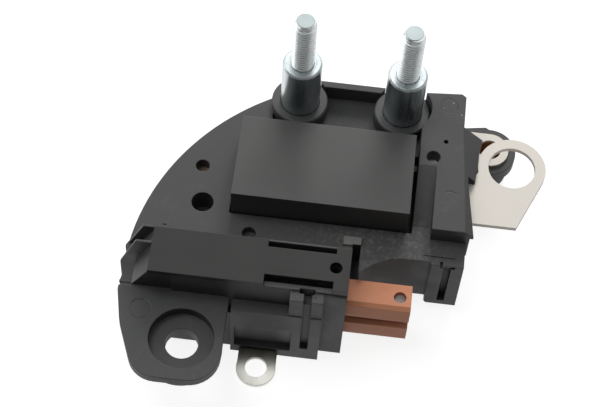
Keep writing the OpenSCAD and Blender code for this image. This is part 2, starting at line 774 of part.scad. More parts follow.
module eyelet_shape(grow = 0) {
    difference() {
        translate([0, 0, eyelet_z - grow]) linear_extrude(bar_t + 2 * grow)
            difference() {
                union() {
                    translate([eyelet_x, eyelet_y]) circle(d = eyelet_d + 2 * grow);
                    translate([eyelet_x - eyelet_d / 2 + 0.1 - grow, eyelet_y])
                        square([eyelet_d - 0.2 + 2 * grow, tower_front + 1 - eyelet_y + grow]);
                }
                translate([eyelet_x, eyelet_y]) circle(d = eyelet_hole_d);
            }
    }
    strip([eyelet_x - eyelet_strip / 2, tower_front + 0.2, eyelet_z],
        [eyelet_x + eyelet_strip / 2, tower_front + 0.2 + bar_t, eyelet_top], grow);
    strip([eyelet_x - eyelet_strip / 2, tower_front + 0.2, eyelet_top - bar_t],
        [eyelet_x + eyelet_strip / 2, 13, eyelet_top], grow);
}

module small_ring_shape(grow = 0) {
    difference() {
        translate([0, 0, lug_top - grow]) linear_extrude(bar_t + 2 * grow)
            difference() {
                union() {
                    translate([lug_x, lug_y]) circle(d = small_ring_d + 2 * grow);
                    translate([riser_x - grow, lug_y - 1 - grow])
                        square([lug_x - riser_x + grow, small_ring_d / 2 + 1 + 2 * grow]);
                }
                translate([lug_x, lug_y]) circle(d = insert_bore_d);
            }
    }
    strip([riser_x, lug_y - 1, lug_top], [riser_x + bar_t, lug_y - 1 + riser_w, bar_top + lead_t], grow);
    strip([riser_x, riser_y, bar_top + lead_t - bar_t],
        [riser_x + bar_t, lug_y - 1 + riser_w, bar_top + lead_t], grow);
}

module lead_shapes(grow = 0) {
    lead_reach = module_y + 4;
    strip([contact_x - 0.4, contact_y - lead_w, bar_top], [module_x + 5, contact_y, bar_top + lead_t], grow);
    strip([supply_lead_x, supply_y + 0.6, bar_top],
        [supply_lead_x + lead_w, lead_reach, bar_top + lead_t], grow);
    strip([eyelet_x - lead_w / 2, lead_reach - 10, eyelet_top - bar_t - lead_t],
        [eyelet_x + lead_w / 2, lead_reach, eyelet_top - bar_t], grow);
    strip([module_x + module_l - 5, riser_y + 0.4, bar_top + lead_t],
        [riser_x + bar_t, riser_y + 0.4 + lead_w, bar_top + 2 * lead_t], grow);
}

module housing() {
    color("#26272a")
        difference() {
            housing_mass();
            housing_cuts();
        }
}

module brush_cover() {
    color("#3a3836")
        difference() {
            translate([0, 0, tower_top]) linear_extrude(cover_t)
                difference() {
                    translate([tower_left, cover_front])
                        square([tower_right - tower_left, cover_rear - cover_front]);
                    translate([neck_left, neck_w / 2]) square([neck_right - neck_left, 10]);
                    translate([neck_left, -neck_w / 2 - 10]) square([neck_right - neck_left, 10]);
                }
            translate([pin_hole_x, 0, tower_top - 1]) cylinder(d = pin_hole_d, h = cover_t + 2, $fn = 32);
        }
}

module module_case() {
    color("#3f4041")
        difference() {
            box([module_x, module_y, module_base], [module_x + module_l, module_y + module_w, module_top]);
            box([cavity_low[0], cavity_low[1], module_base - 1],
                [cavity_high[0], cavity_high[1], module_top - module_wall]);
            lead_shapes(insert_play);
        }
}

module heat_spreader() {
    color("#b4b7ba")
        box([module_x + 0.4, module_y + 0.4, tray_floor],
            [module_x + module_l - 0.4, module_y + module_w - 0.4, module_base]);
}

module hybrid_substrate() {
    color("#e6e4dc")
        box([substrate_low[0], substrate_low[1], module_base],
            [substrate_high[0], substrate_high[1], substrate_top]);
}

module chip(x, y, size, height, grow = 0) {
    box([x - grow, y - grow, substrate_top],
        [x + size[0] + grow, y + size[1] + grow, substrate_top + height + grow]);
}

module transistor_shape(grow = 0) {
    chip(module_x + 8, substrate_high[1] - 7.7, [6, 6], 1.2, grow);
}

module control_shape(grow = 0) {
    chip(module_x + 17, module_y + 9, [5, 5], 1, grow);
}

module diode_shape(grow = 0) {
    chip(module_x + 25, module_y + 10, [3.6, 3.6], 1.1, grow);
}

module capacitor_shape(grow = 0) {
    chip(module_x + 17, module_y + 5.6, [3.2, 1.6], 1.6, grow);
}

module power_transistor() {
    color("#2b2c30") transistor_shape();
}

module control_chip() {
    color("#55585e") control_shape();
}

module freewheel_diode() {
    color("#303236") diode_shape();
}

module filter_capacitor() {
    color("#b98d5a") capacitor_shape();
}

module module_potting() {
    color("#1c1d20")
        difference() {
            box([cavity_low[0] + insert_play, cavity_low[1] + insert_play, module_base],
                [cavity_high[0] - insert_play, cavity_high[1] - insert_play, module_top - module_wall]);
            box([substrate_low[0] - insert_play, substrate_low[1] - insert_play, module_base - 1],
                [substrate_high[0] + insert_play, substrate_high[1] + insert_play, substrate_top]);
            transistor_shape(insert_play);
            control_shape(insert_play);
            diode_shape(insert_play);
            capacitor_shape(insert_play);
            lead_shapes(insert_play);
        }
}

module module_leads() {
    color("#c9c6bd") lead_shapes();
}

// A captive screw: flanged head with a hexagon socket, plain shank and a pilot tip.
module stud(x) {
    color("#c3cbd1")
        translate([x, stud_y, 0])
            difference() {
                rotate_extrude()
                    polygon([
                        [0, tray_floor - head_h],
                        [head_d / 2 - 0.4, tray_floor - head_h],
                        [head_d / 2, tray_floor - head_h + 0.4],
                        [head_d / 2, tray_floor - 1.2],
                        [head_flange_d / 2, tray_floor - 1],
                        [head_flange_d / 2, tray_floor],
                        [shank_d / 2, tray_floor],
                        [shank_d / 2, sleeve_top - 0.2],
                        [stud_d / 2, sleeve_top],
                        [stud_d / 2, stud_top - 1.6],
                        [stud_d / 2 - 0.6, stud_top - 0.4],
                        [stud_d / 2 - 0.7, stud_top],
                        [0, stud_top]
                    ]);
                translate([0, 0, tray_floor - head_h - 1]) cylinder(d = socket_d, h = head_h - 0.4, $fn = 6);
            }
}

module sleeve(x) {
    color("#aeb9c2")
        translate([x, stud_y, 0])
            rotate_extrude()
                polygon([
                    [sleeve_bore_d / 2, tray_floor],
                    [sleeve_d / 2, tray_floor],
                    [sleeve_d / 2, sleeve_top - 0.4],
                    [sleeve_d / 2 - 0.4, sleeve_top],
                    [sleeve_bore_d / 2 + 0.3, sleeve_top],
                    [sleeve_bore_d / 2, sleeve_top - 0.3]
                ]);
}

module bush(x) {
    color("#1b1c1e")
        translate([x, stud_y, 0])
            rotate_extrude()
                polygon([
                    [bush_bore_d / 2, tray_floor],
                    [bush_d / 2, tray_floor],
                    [bush_d / 2, boss_top],
                    [flange_d / 2, boss_top],
                    [flange_d / 2, flange_top - 0.3],
                    [flange_d / 2 - 0.3, flange_top],
                    [bush_bore_d / 2, flange_top]
                ]);
}

// A carbon brush with its chamfered upper edge and the retaining pin's hole.
module brush(z) {
    color("#cd8c6e")
        difference() {
            translate([brush_rear, 0, z]) rotate([90, 0, 90])
                linear_extrude(brush_l)
                    polygon([
                        [-brush_w / 2, -brush_h / 2],
                        [brush_w / 2, -brush_h / 2],
                        [brush_w / 2, brush_h / 2],
                        [-brush_w / 2 + brush_chamfer, brush_h / 2],
                        [-brush_w / 2, brush_h / 2 - 0.5]
                    ]);
            translate([pin_gap, 0, z - brush_h]) cylinder(d = pin_hole_d, h = 2 * brush_h, $fn = 32);
        }
}

// A coil of round wire between the brush and the pocket's rear wall, swept along its helix.
module spring(z) {
    length = brush_rear - pocket_rear - 2 * spring_wire;
    steps = 12 * spring_turns;
    sides = 6;
    points = [for (i = [0 : steps]) for (j = [0 : sides - 1])
        let (
            a = 360 * spring_turns * i / steps,
            b = 360 * j / sides,
            r = spring_d / 2 + spring_wire / 2 * cos(b)
        )
        [pocket_rear + spring_wire + length * i / steps + spring_wire / 2 * sin(b), r * cos(a), r * sin(a)]];
    skin = [for (i = [0 : steps - 1]) for (j = [0 : sides - 1])
        let (a = i * sides + j, b = i * sides + (j + 1) % sides)
        each [[a, b, b + sides], [a, b + sides, a + sides]]];
    start_face = [[for (j = [sides - 1 : -1 : 0]) j]];
    end_face = [[for (j = [0 : sides - 1]) steps * sides + j]];
    color("#9aa0a6")
        translate([0, 0, z]) polyhedron(points, concat(skin, start_face, end_face));
}

module pigtail_upper() {
    color("#b87448")
        translate([well_right - 4.2, 0, brush_upper_z]) rotate([0, 90, 0])
            cylinder(d = pigtail_d, h = brush_rear - well_right + 4.2, $fn = 24);
}

module pigtail_lower() {
    bend = 1.5;
    rise_x = well_left + 1.6;
    color("#b87448") {
        translate([rise_x + bend, 0, brush_lower_z]) rotate([0, 90, 0])
            cylinder(d = pigtail_d, h = brush_rear - rise_x - bend, $fn = 24);
        translate([rise_x + bend, 0, brush_lower_z + bend]) rotate([90, 0, 0])
            rotate([0, 0, 180]) rotate_extrude(angle = 90)
                translate([bend, 0]) circle(d = pigtail_d, $fn = 24);
        translate([rise_x, 0, brush_lower_z + bend])
            cylinder(d = pigtail_d, h = bar_z - 0.1 - brush_lower_z - bend, $fn = 24);
    }
}

module supply_bus_bar() {
    color("#b87c50") supply_shape();
}

module field_bus_bar() {
    color("#b87c50") field_shape();
}

module ring_terminal() {
    color("#d9d2c6") ring_shape();
}

module eyelet_terminal() {
    color("#c9c6b8") eyelet_shape();
}

module small_ring_terminal() {
    color("#d6d0c4") small_ring_shape();
}

module lug_insert() {
    color("#9a5c2c")
        translate([lug_x, lug_y, lug_top - insert_l])
            difference() {
                cylinder(d = insert_d, h = insert_l);
                translate([0, 0, 1]) cylinder(d = insert_bore_d, h = insert_l);
            }
}

housing();
brush_cover();
module_case();
module_potting();
heat_spreader();
hybrid_substrate();
power_transistor();
control_chip();
freewheel_diode();
filter_capacitor();
module_leads();
stud(stud_left_x);  // stud_left
stud(stud_x);  // stud_right
sleeve(stud_left_x);  // sleeve_left
sleeve(stud_x);  // sleeve_right
bush(stud_left_x);  // bush_left
bush(stud_x);  // bush_right
brush(brush_upper_z);  // brush_upper
brush(brush_lower_z);  // brush_lower
spring(brush_upper_z);  // spring_upper
spring(brush_lower_z);  // spring_lower
pigtail_upper();
pigtail_lower();
supply_bus_bar();
field_bus_bar();
ring_terminal();
eyelet_terminal();
small_ring_terminal();
lug_insert();
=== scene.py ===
import math

import bmesh
import bpy
from mathutils import Matrix, Vector


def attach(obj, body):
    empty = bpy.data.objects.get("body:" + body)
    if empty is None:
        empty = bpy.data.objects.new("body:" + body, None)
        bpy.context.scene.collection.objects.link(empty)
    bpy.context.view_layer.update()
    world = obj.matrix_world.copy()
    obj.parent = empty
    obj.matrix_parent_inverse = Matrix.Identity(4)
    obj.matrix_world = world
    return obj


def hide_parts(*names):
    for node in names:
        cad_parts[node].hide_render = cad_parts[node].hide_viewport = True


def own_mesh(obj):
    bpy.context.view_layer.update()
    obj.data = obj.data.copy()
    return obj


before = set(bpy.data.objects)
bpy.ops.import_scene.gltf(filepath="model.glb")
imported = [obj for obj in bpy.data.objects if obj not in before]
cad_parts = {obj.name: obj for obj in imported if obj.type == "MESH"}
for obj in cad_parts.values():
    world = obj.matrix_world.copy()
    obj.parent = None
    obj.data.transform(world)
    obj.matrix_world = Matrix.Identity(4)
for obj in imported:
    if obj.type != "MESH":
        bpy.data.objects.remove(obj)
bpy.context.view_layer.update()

scene = bpy.context.scene
scene.view_settings.view_transform = "Standard"


# Housing
# One moulding in black glass-filled plastic: plate, brush tower, ear, terminal block and lug.
# It is satin with a fine grain, cloudy where the melt flowed, paler on its worn edges, and
# carries the round marks of the ejector pins.
class Wire:
    """A socket of a node tree. Arithmetic on it adds the Math node that does the sum."""

    def __init__(self, tree, socket):
        self.tree, self.socket = tree, socket

    def math(self, operation, *values):
        """A Math node on values, which hold this wire too where the sum needs it."""
        node = self.tree.nodes.new("ShaderNodeMath")
        node.operation = operation
        for place, value in zip(node.inputs, values):
            if isinstance(value, Wire):
                self.tree.links.new(value.socket, place)
            else:
                place.default_value = value
        return Wire(self.tree, node.outputs[0])

    def __add__(self, other):
        return self.math("ADD", self, other)

    def __sub__(self, other):
        return self.math("SUBTRACT", self, other)

    def __rsub__(self, other):
        return self.math("SUBTRACT", other, self)

    def __mul__(self, other):
        return self.math("MULTIPLY", self, other)

    def __abs__(self):
        return self.math("ABSOLUTE", self)

    def at_least(self, other):
        return self.math("MAXIMUM", self, other)

    def at_most(self, other):
        return self.math("MINIMUM", self, other)

    __radd__ = __add__
    __rmul__ = __mul__


class Finish:
    """The node tree of a new material, or of a new world, to which node() adds any node."""

    def __init__(self, name, kind=bpy.data.materials):
        self.owner = kind.new(name)
        self.owner.use_nodes = True
        self.tree = self.owner.node_tree
        self.tree.nodes.clear()

    def node(self, kind, settings=None, values=None, out=0):
        node = self.tree.nodes.new("ShaderNode" + kind)
        for key, value in (settings or {}).items():
            setattr(node, key, value)
        for key, value in (values or {}).items():
            if isinstance(value, Wire):
                self.tree.links.new(value.socket, node.inputs[key])
            else:
                node.inputs[key].default_value = value
        return Wire(self.tree, node.outputs[out]) if len(node.outputs) else None

    def where(self):
        return self.node("TexCoord", out="Object")

    def along(self, axis):
        """How far along the axis a point lies, in metres."""
        return self.node("SeparateXYZ", None, {0: self.where()}, out=axis)

    def stretched(self, x, y, z):
        """Position with each axis scaled, so that a noise has long and short ways."""
        return self.node("VectorMath", {"operation": "MULTIPLY"}, {0: self.where(), 1: (x, y, z)})

    def distance(self, centre, weights):
        """How far a point lies from centre, with each axis weighted."""
        away = self.node("VectorMath", {"operation": "SUBTRACT"}, {0: self.where(), 1: centre})
        weighted = self.node("VectorMath", {"operation": "MULTIPLY"}, {0: away, 1: weights})
        return self.node("VectorMath", {"operation": "LENGTH"}, {0: weighted}, out="Value")

    def noise(self, scale, detail=3.0, roughness=0.5, at=None, distortion=0.0):
        values = {"Scale": scale, "Detail": detail, "Roughness": roughness, "Distortion": distortion,
                  "Vector": at or self.where()}
        return self.node("TexNoise", None, values)

    def fade(self, value, low, high, to_low=0.0, to_high=1.0):
        """A smooth step of value, from to_low at low to to_high at high."""
        values = {"Value": value, "From Min": low, "From Max": high, "To Min": to_low, "To Max": to_high}
        return self.node("MapRange", {"interpolation_type": "SMOOTHSTEP"}, values)

    def mixed(self, amount, first, second):
        first, second = [c if isinstance(c, Wire) else (*c, 1.0) for c in (first, second)]
        return self.node("Mix", {"data_type": "RGBA"}, {0: amount, 6: first, 7: second}, out=2)

    def edges(self, radius):
        """(softened normal, how near a sharp edge is) for a bevel of that radius."""
        soft = self.node("Bevel", {"samples": 6}, {"Radius": radius})
        true = self.node("NewGeometry", out="True Normal")
        same = self.node("VectorMath", {"operation": "DOT_PRODUCT"}, {0: soft, 1: true}, out="Value")
        return soft, self.fade(same, 0.98, 0.80)

    def plain_normal(self):
        return self.node("NewGeometry", out="Normal")

    def bumped(self, height, depth, normal):
        values = {"Height": height, "Distance": depth, "Strength": 1.0, "Normal": normal}
        return self.node("Bump", None, values)

    def finished(self, **sockets):
        """Closes the tree with a Principled surface and gives the material."""
        named = {key.replace("_", " "): value for key, value in sockets.items()}
        for key, value in named.items():
            if isinstance(value, tuple) and len(value) == 3:
                named[key] = (*value, 1.0)
        surface = self.node("BsdfPrincipled", None, named)
        self.node("OutputMaterial", None, {"Surface": surface})
        return self.owner


def dress(material, *nodes):
    for name in nodes:
        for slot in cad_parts[name].material_slots:
            slot.material = material


def placed(name, mesh, material):
    """An object of that name, made of the bmesh and finished in the material."""
    data = bpy.data.meshes.new(name)
    mesh.to_mesh(data)
    mesh.free()
    data.materials.append(material)
    piece = bpy.data.objects.new(name, data)
    scene.collection.objects.link(piece)
    return piece


def spot(x, y, face):
    """Distance from the upright line at x and y, far away off the face at that height, from mm."""
    return moulding.distance((x * mm, y * mm, face * mm), (1.0, 1.0, off_face))


def outline(value, radius, outer, inner):
    """A line where value is radius, gone outer away from it and full within inner."""
    return moulding.fade(abs(value - radius * mm), outer * mm, inner * mm)


mm = 0.001
off_face = 6.0
plate_face = 18.9
block_face = 23.4
latch_face = 25.0
tab_face = 19.4
# each mark is x, y, the height of its face and its radius, in mm
ejector_marks = [(-49.5, -10.2, plate_face, 2.1), (9.8, 45.2, block_face, 1.9)]
half_mark = (11.5, 21.8, block_face, 1.5)
nicks = [(10.68, 45.99, block_face, 0.24), (12.63, 43.13, block_face, 0.24),
         (8.6, 44.4, block_face, 0.14), (-8.9, 11.5, plate_face, 0.25), (-6.6, 11.2, plate_face, 0.22)]
# the latch slot's pits are painted near black, as painted shade down inside them
latch_pit_shades = [(-18.5, -5.4), (-13.4, -5.2), (-14.2, -6.4), (-11.7, -4.5)]

moulding = Finish("housing_plastic")
soft, edge = moulding.edges(0.32 * mm)
cloud = moulding.noise(75.0, 4.0, 0.6, distortion=0.6)
grain = moulding.noise(2600.0, 2.0, 0.6)
speck = moulding.fade(moulding.noise(900.0, 3.0, 0.7), 0.60, 0.72)
smear = moulding.fade(moulding.noise(120.0, 5.0, 0.7, distortion=1.0), 0.55, 0.80)

# dust lies in patches on the plate behind the brushes
dusty = moulding.fade(spot(1.0, 13.0, plate_face), 16.0 * mm, 3.0 * mm)
dusty = dusty + moulding.fade(spot(-13.0, 10.0, plate_face), 12.0 * mm, 2.0 * mm) * 0.6
dusty = dusty * moulding.fade(moulding.noise(900.0, 5.0, 0.75, distortion=1.0), 0.46, 0.66)

# the ejector pins' marks are shallow discs in thin rings, and one shows only its rear half
ring = disc = nick = pit = 0.0
for x, y, face, radius in ejector_marks:
    away = spot(x, y, face)
    ring = ring + outline(away, radius, 0.22, 0.02)
    disc = disc + moulding.fade(away, radius * mm, radius * mm - 0.15 * mm)
x, y, face, radius = half_mark
rear_half = moulding.fade(moulding.along("Y"), 22.2 * mm, 22.8 * mm)
ring = ring + outline(spot(x, y, face), radius, 0.32, 0.08) * rear_half
ring = ring * moulding.fade(moulding.noise(330.0, 3.0, 0.6), 0.36, 0.62, 0.15, 1.0)
corner_tab = moulding.fade(spot(-7.9, 11.0, tab_face), 2.4 * mm, 1.8 * mm)
for x, y, face, radius in nicks:
    nick = nick + moulding.fade(spot(x, y, face), radius * mm, radius * mm * 0.5)
# painted shade: near-black dots where the ends of the latch slot fall into shade
for x, y in latch_pit_shades:
    pit = pit + moulding.fade(spot(x, y, latch_face), 0.55 * mm, 0.25 * mm)

tone = moulding.mixed(moulding.fade(cloud, 0.30, 0.72), (0.043, 0.044, 0.045), (0.067, 0.067, 0.066))
for amount, colour in (
        (smear * 0.5, (0.115, 0.113, 0.108)),
        (corner_tab * 0.85, (0.26, 0.26, 0.25)),
        (nick * 0.8, (0.42, 0.42, 0.40)),
        # painted shade in the latch slot's pits
        (pit * 0.8, (0.008, 0.008, 0.008)),
        (speck * 0.25, (0.14, 0.14, 0.135)),
        (dusty * 0.5, (0.22, 0.215, 0.205)),
        (edge * (dusty * 0.5 + 0.35), (0.20, 0.20, 0.195)),
        (ring * 0.7, (0.022, 0.022, 0.023))):
    tone = moulding.mixed(amount, tone, colour)
height = grain * 0.5 + cloud * 0.8 - ring * 1.6 - disc * 0.8
housing_plastic = moulding.finished(
    Base_Color=tone, Roughness=moulding.fade(cloud, 0.25, 0.75, 0.46, 0.62) + grain * 0.05,
    Normal=moulding.bumped(height, 0.05 * mm, soft))
dress(housing_plastic, "housing")

# the front gusset's foot, which runs down behind the ear's upper edge
foot_corners = [(-56.2, 8.4), (-52.2, 8.4), (-52.2, 5.6), (-56.0, 5.6)]
foot_sides = (1.4, 0.9)
foot = bmesh.new()
for y in foot_sides:
    foot.faces.new([foot.verts.new((x * mm, y * mm, z * mm)) for x, z in foot_corners])
foot.verts.ensure_lookup_table()
for k in range(4):
    n = (k + 1) % 4
    foot.faces.new([foot.verts[i] for i in (k, n, n + 4, k + 4)])
bmesh.ops.recalc_face_normals(foot, faces=foot.faces)
gusset_foot = placed("gusset_foot", foot, housing_plastic)
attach(gusset_foot, "regulator")


# Brush cover
# A thin sheet of brown-black plastic welded on the brush tower. It is smoother than the
# moulding, with faint drawing lines along its length and slightly rounded edges.
sheet = Finish("cover_plastic")
soft, edge = sheet.edges(0.2 * mm)
lines = sheet.noise(300.0, 3.0, 0.6, at=sheet.stretched(0.15, 1.0, 1.0))
haze = sheet.noise(60.0, 3.0, 0.55)
tone = sheet.mixed(sheet.fade(haze, 0.3, 0.7), (0.017, 0.0162, 0.0155), (0.024, 0.0228, 0.0218))
tone = sheet.mixed(edge * 0.4, tone, (0.17, 0.16, 0.15))
cover_plastic = sheet.finished(
    Base_Color=tone, Roughness=sheet.fade(lines, 0.3, 0.7, 0.44, 0.54), Specular_IOR_Level=0.36,
    Normal=sheet.bumped(lines * 0.4 + sheet.noise(2400.0) * 0.3, 0.03 * mm, soft))
dress(cover_plastic, "brush_cover")


# Control module
# The sealed electronic module: a smooth grey-black plastic case over a potted circuit on an
# aluminium plate. Its upper face is plain and bare.
case = Finish("module_plastic")
soft, edge = case.edges(0.18 * mm)
haze = case.noise(45.0, 3.0, 0.5)
grain = case.noise(3200.0, 2.0, 0.6)
tone = case.mixed(case.fade(haze, 0.3, 0.7), (0.056, 0.056, 0.055), (0.066, 0.066, 0.064))
tone = case.mixed(edge * 0.3, tone, (0.15, 0.15, 0.15))
module_plastic = case.finished(
    Base_Color=tone, Roughness=case.fade(haze, 0.3, 0.7, 0.38, 0.44),
    Normal=case.bumped(grain, 0.012 * mm, soft))
dress(module_plastic, "module_case")

resin = Finish("potting_resin")
ripple = resin.noise(120.0, 3.0, 0.5)
potting_resin = resin.finished(
    Base_Color=resin.mixed(ripple, (0.012, 0.012, 0.013), (0.028, 0.028, 0.030)), Roughness=0.28,
    Normal=resin.bumped(ripple, 0.2 * mm, resin.plain_normal()))
dress(potting_resin, "module_potting")

spreader = Finish("aluminium_plate")
milled = spreader.noise(900.0, 2.0, 0.5, at=spreader.stretched(0.04, 1.0, 1.0))
aluminium_plate = spreader.finished(
    Base_Color=(0.72, 0.73, 0.74), Metallic=1.0, Roughness=spreader.fade(milled, 0.3, 0.7, 0.28, 0.42),
    Normal=spreader.bumped(milled, 0.02 * mm, spreader.edges(0.15 * mm)[0]))
dress(aluminium_plate, "heat_spreader")

ceramic = Finish("white_ceramic")
fired = ceramic.noise(1500.0, 3.0, 0.6)
white_ceramic = ceramic.finished(
    Base_Color=ceramic.mixed(fired, (0.80, 0.79, 0.74), (0.88, 0.87, 0.83)), Roughness=0.5,
    Normal=ceramic.bumped(fired, 0.01 * mm, ceramic.edges(0.08 * mm)[0]))
dress(white_ceramic, "hybrid_substrate")

chip = Finish("chip_resin")
moulded = chip.noise(2200.0, 2.0, 0.6)
chip_resin = chip.finished(
    Base_Color=chip.mixed(moulded, (0.022, 0.022, 0.024), (0.036, 0.036, 0.038)), Roughness=0.55,
    Normal=chip.bumped(moulded, 0.015 * mm, chip.edges(0.08 * mm)[0]))
dress(chip_resin, "power_transistor", "control_chip", "freewheel_diode")

capacitor = Finish("capacitor_ceramic")
shade = capacitor.noise(800.0, 2.0, 0.5)
capacitor_ceramic = capacitor.finished(
    Base_Color=capacitor.mixed(shade, (0.40, 0.26, 0.15), (0.52, 0.36, 0.22)), Roughness=0.4,
    Normal=capacitor.bumped(shade, 0.01 * mm, capacitor.edges(0.08 * mm)[0]))
dress(capacitor_ceramic, "filter_capacitor")


# Spacer sleeves
# Two turned steel sleeves round the studs, zinc plated with a faint blue passivation. The
# plating is bright, a little mottled, with fine turning marks round the sleeve.
zinc = Finish("zinc_plating")
soft, edge = zinc.edges(0.12 * mm)
blotch = zinc.noise(210.0, 3.0, 0.55, at=zinc.stretched(1.0, 1.0, 0.35))
turned = zinc.noise(2600.0, 2.0, 0.5, at=zinc.stretched(0.02, 0.02, 1.0))
streak = zinc.noise(900.0, 3.0, 0.6, at=zinc.stretched(1.0, 1.0, 0.03))
tone = zinc.mixed(zinc.fade(blotch, 0.3, 0.7), (0.52, 0.585, 0.60), (0.66, 0.70, 0.71))
tone = zinc.mixed(edge * 0.5, tone, (0.74, 0.765, 0.77))
tone = zinc.mixed(zinc.fade(streak, 0.45, 0.70) * 0.35, tone, (0.36, 0.40, 0.39))
zinc_plating = zinc.finished(
    Base_Color=tone, Metallic=0.94, Roughness=zinc.fade(streak, 0.35, 0.70, 0.26, 0.44),
    Normal=zinc.bumped(turned * 0.3 + blotch, 0.006 * mm, soft))
dress(zinc_plating, "sleeve_left", "sleeve_right")

# the flat of each sleeve's end, which reaches in to the thread
stud_y = 43.9 * mm
stud_places = {"left": -22.7 * mm, "right": -0.2 * mm}
lip_outer, lip_inner = 2.93 * mm, 2.53 * mm
lip_low, lip_high = 34.70 * mm, 34.86 * mm
lip_section = [(lip_outer, lip_low), (lip_outer, lip_high), (lip_inner, lip_high), (lip_inner, lip_low)]
lip_around = 64
for side, stud_x in stud_places.items():
    lip = bmesh.new()
    rings = []
    for radius, z in lip_section:
        angles = [2 * math.pi * i / lip_around for i in range(lip_around)]
        rings.append([lip.verts.new((stud_x + radius * math.cos(angle), stud_y + radius * math.sin(angle), z))
                      for angle in angles])
    for k in range(4):
        first, second = rings[k], rings[(k + 1) % 4]
        for i in range(lip_around):
            j = (i + 1) % lip_around
            lip.faces.new((first[i], first[j], second[j], second[i]))
    sleeve_lip = placed("sleeve_lip_" + side, lip, zinc_plating)
    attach(sleeve_lip, "regulator")


# Studs
# Two M5 captive screws, zinc plated, that stand through the sleeves. Each keeps its head and
# shank from the frame and gets its rolled thread above the sleeve, up to the bare pilot tip.
thread_pitch = 0.8 * mm
thread_start = 32.0 * mm
thread_runout = 0.6 * mm
thread_depth = 0.49 * mm
thread_radius = 2.5 * mm
core_radius = 1.98 * mm
flank_slope, crest_share = 2.35, 0.12
tip_start = 48.0 * mm
tip_top = 49.6 * mm
tip_taper, tip_chamfer = 0.62 * mm, 0.05 * mm
row_step = 0.1 * mm
around = 56

thread = Finish("zinc_thread")
beyond_both = 1.0
axis_gap = beyond_both
for stud_x in stud_places.values():
    axis_gap = thread.distance((stud_x, stud_y, 0.0), (1.0, 1.0, 0.0)).at_most(axis_gap)
blotch = thread.noise(260.0, 3.0, 0.55)
upright = thread.along("Z")
threaded = thread.fade(upright, 47.9 * mm, 47.5 * mm)
end_face = thread.fade(upright, 49.45 * mm, 49.55 * mm)
tone = thread.mixed(thread.fade(blotch, 0.3, 0.7), (0.78, 0.84, 0.85), (0.92, 0.95, 0.955))
# painted shade: the thread's roots, nearest the axis, are darkened as the shade between its flanks
tone = thread.mixed(thread.fade(axis_gap, 2.30 * mm, 2.02 * mm) * threaded, tone, (0.05, 0.055, 0.055))
tone = thread.mixed(end_face, tone, (0.36, 0.405, 0.405))
zinc_thread = thread.finished(
    Base_Color=tone, Metallic=1.0, Roughness=thread.fade(blotch, 0.3, 0.75, 0.24, 0.34) + end_face * 0.25,
    Normal=thread.bumped(blotch, 0.006 * mm, thread.plain_normal()))

for side, stud_x in stud_places.items():
    name = "stud_" + side
    mesh = bmesh.new()
    mesh.from_mesh(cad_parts[name].data)
    bmesh.ops.bisect_plane(mesh, geom=[*mesh.verts, *mesh.edges, *mesh.faces], plane_co=(0, 0, thread_start),
                           plane_no=(0, 0, 1), clear_outer=True)
    grid = []
    for row in range(int((tip_top - thread_start) / row_step) + 1):
        z = thread_start + row_step * row
        past = max(0.0, z - tip_start) / (tip_top - tip_start)
        crest = thread_radius - tip_taper * past - (tip_chamfer if past >= 0.99 else 0.0)
        line = []
        for j in range(around):
            turn = (z / thread_pitch - j / around) % 1.0
            cut = min(1.0, max(0.0, flank_slope * abs(turn - 0.5) - crest_share))
            root = crest - thread_depth * (1.0 - cut)
            cutting = z > thread_start + thread_runout
            radius = min(crest, max(root, core_radius)) if cutting else crest
            angle = 2 * math.pi * j / around
            place = (stud_x + radius * math.cos(angle), stud_y + radius * math.sin(angle), z)
            line.append(mesh.verts.new(place))
        grid.append(line)
    for first, second in zip(grid, grid[1:]):
        for j in range(around):
            k = (j + 1) % around
            mesh.faces.new((first[j], first[k], second[k], second[j]))
    mesh.faces.new(grid[-1])
    mesh.faces.new(list(reversed(grid[0])))
    stud = placed(name + "_threaded", mesh, zinc_thread)
    for face in stud.data.polygons:
        face.use_smooth = len(face.vertices) == 4
    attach(stud, "regulator")
    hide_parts(name)


# Insulating bushes
# Flanged bushes of smooth, slightly glossy black plastic. They sit in the housing's bosses and
# keep the sleeves off it.
collar = Finish("bush_plastic")
soft, edge = collar.edges(0.15 * mm)
haze = collar.noise(140.0, 3.0, 0.5)
tone = collar.mixed(haze, (0.050, 0.051, 0.051), (0.070, 0.070, 0.070))
bush_plastic = collar.finished(
    Base_Color=collar.mixed(edge * 0.3, tone, (0.15, 0.15, 0.15)),
    Roughness=collar.fade(haze, 0.3, 0.7, 0.30, 0.40),
    Normal=collar.bumped(collar.noise(2200.0) * 0.4 + haze, 0.02 * mm, soft))
dress(bush_plastic, "bush_left", "bush_right")


# Brushes
# Pressed copper-graphite blocks, salmon coloured and matt, with a fine speckle of metal and
# graphite grains and slightly paler rubbed edges.
pressed = Finish("copper_graphite")
soft, edge = pressed.edges(0.15 * mm)
grains = pressed.noise(3800.0, 2.0, 0.7)
bands = pressed.noise(240.0, 3.0, 0.5, at=pressed.stretched(0.25, 1.0, 1.0))
tone = pressed.mixed(pressed.fade(bands, 0.3, 0.7), (0.67, 0.268, 0.139), (0.78, 0.333, 0.184))
tone = pressed.mixed(pressed.fade(grains, 0.60, 0.75) * 0.45, tone, (0.30, 0.13, 0.09))
tone = pressed.mixed(pressed.fade(grains, 0.36, 0.26) * 0.35, tone, (0.80, 0.48, 0.34))
tone = pressed.mixed(edge * 0.25, tone, (0.74, 0.42, 0.30))
copper_graphite = pressed.finished(
    Base_Color=tone, Metallic=0.15, Roughness=pressed.fade(bands, 0.3, 0.7, 0.48, 0.62),
    Normal=pressed.bumped(grains, 0.03 * mm, soft))
dress(copper_graphite, "brush_upper", "brush_lower")

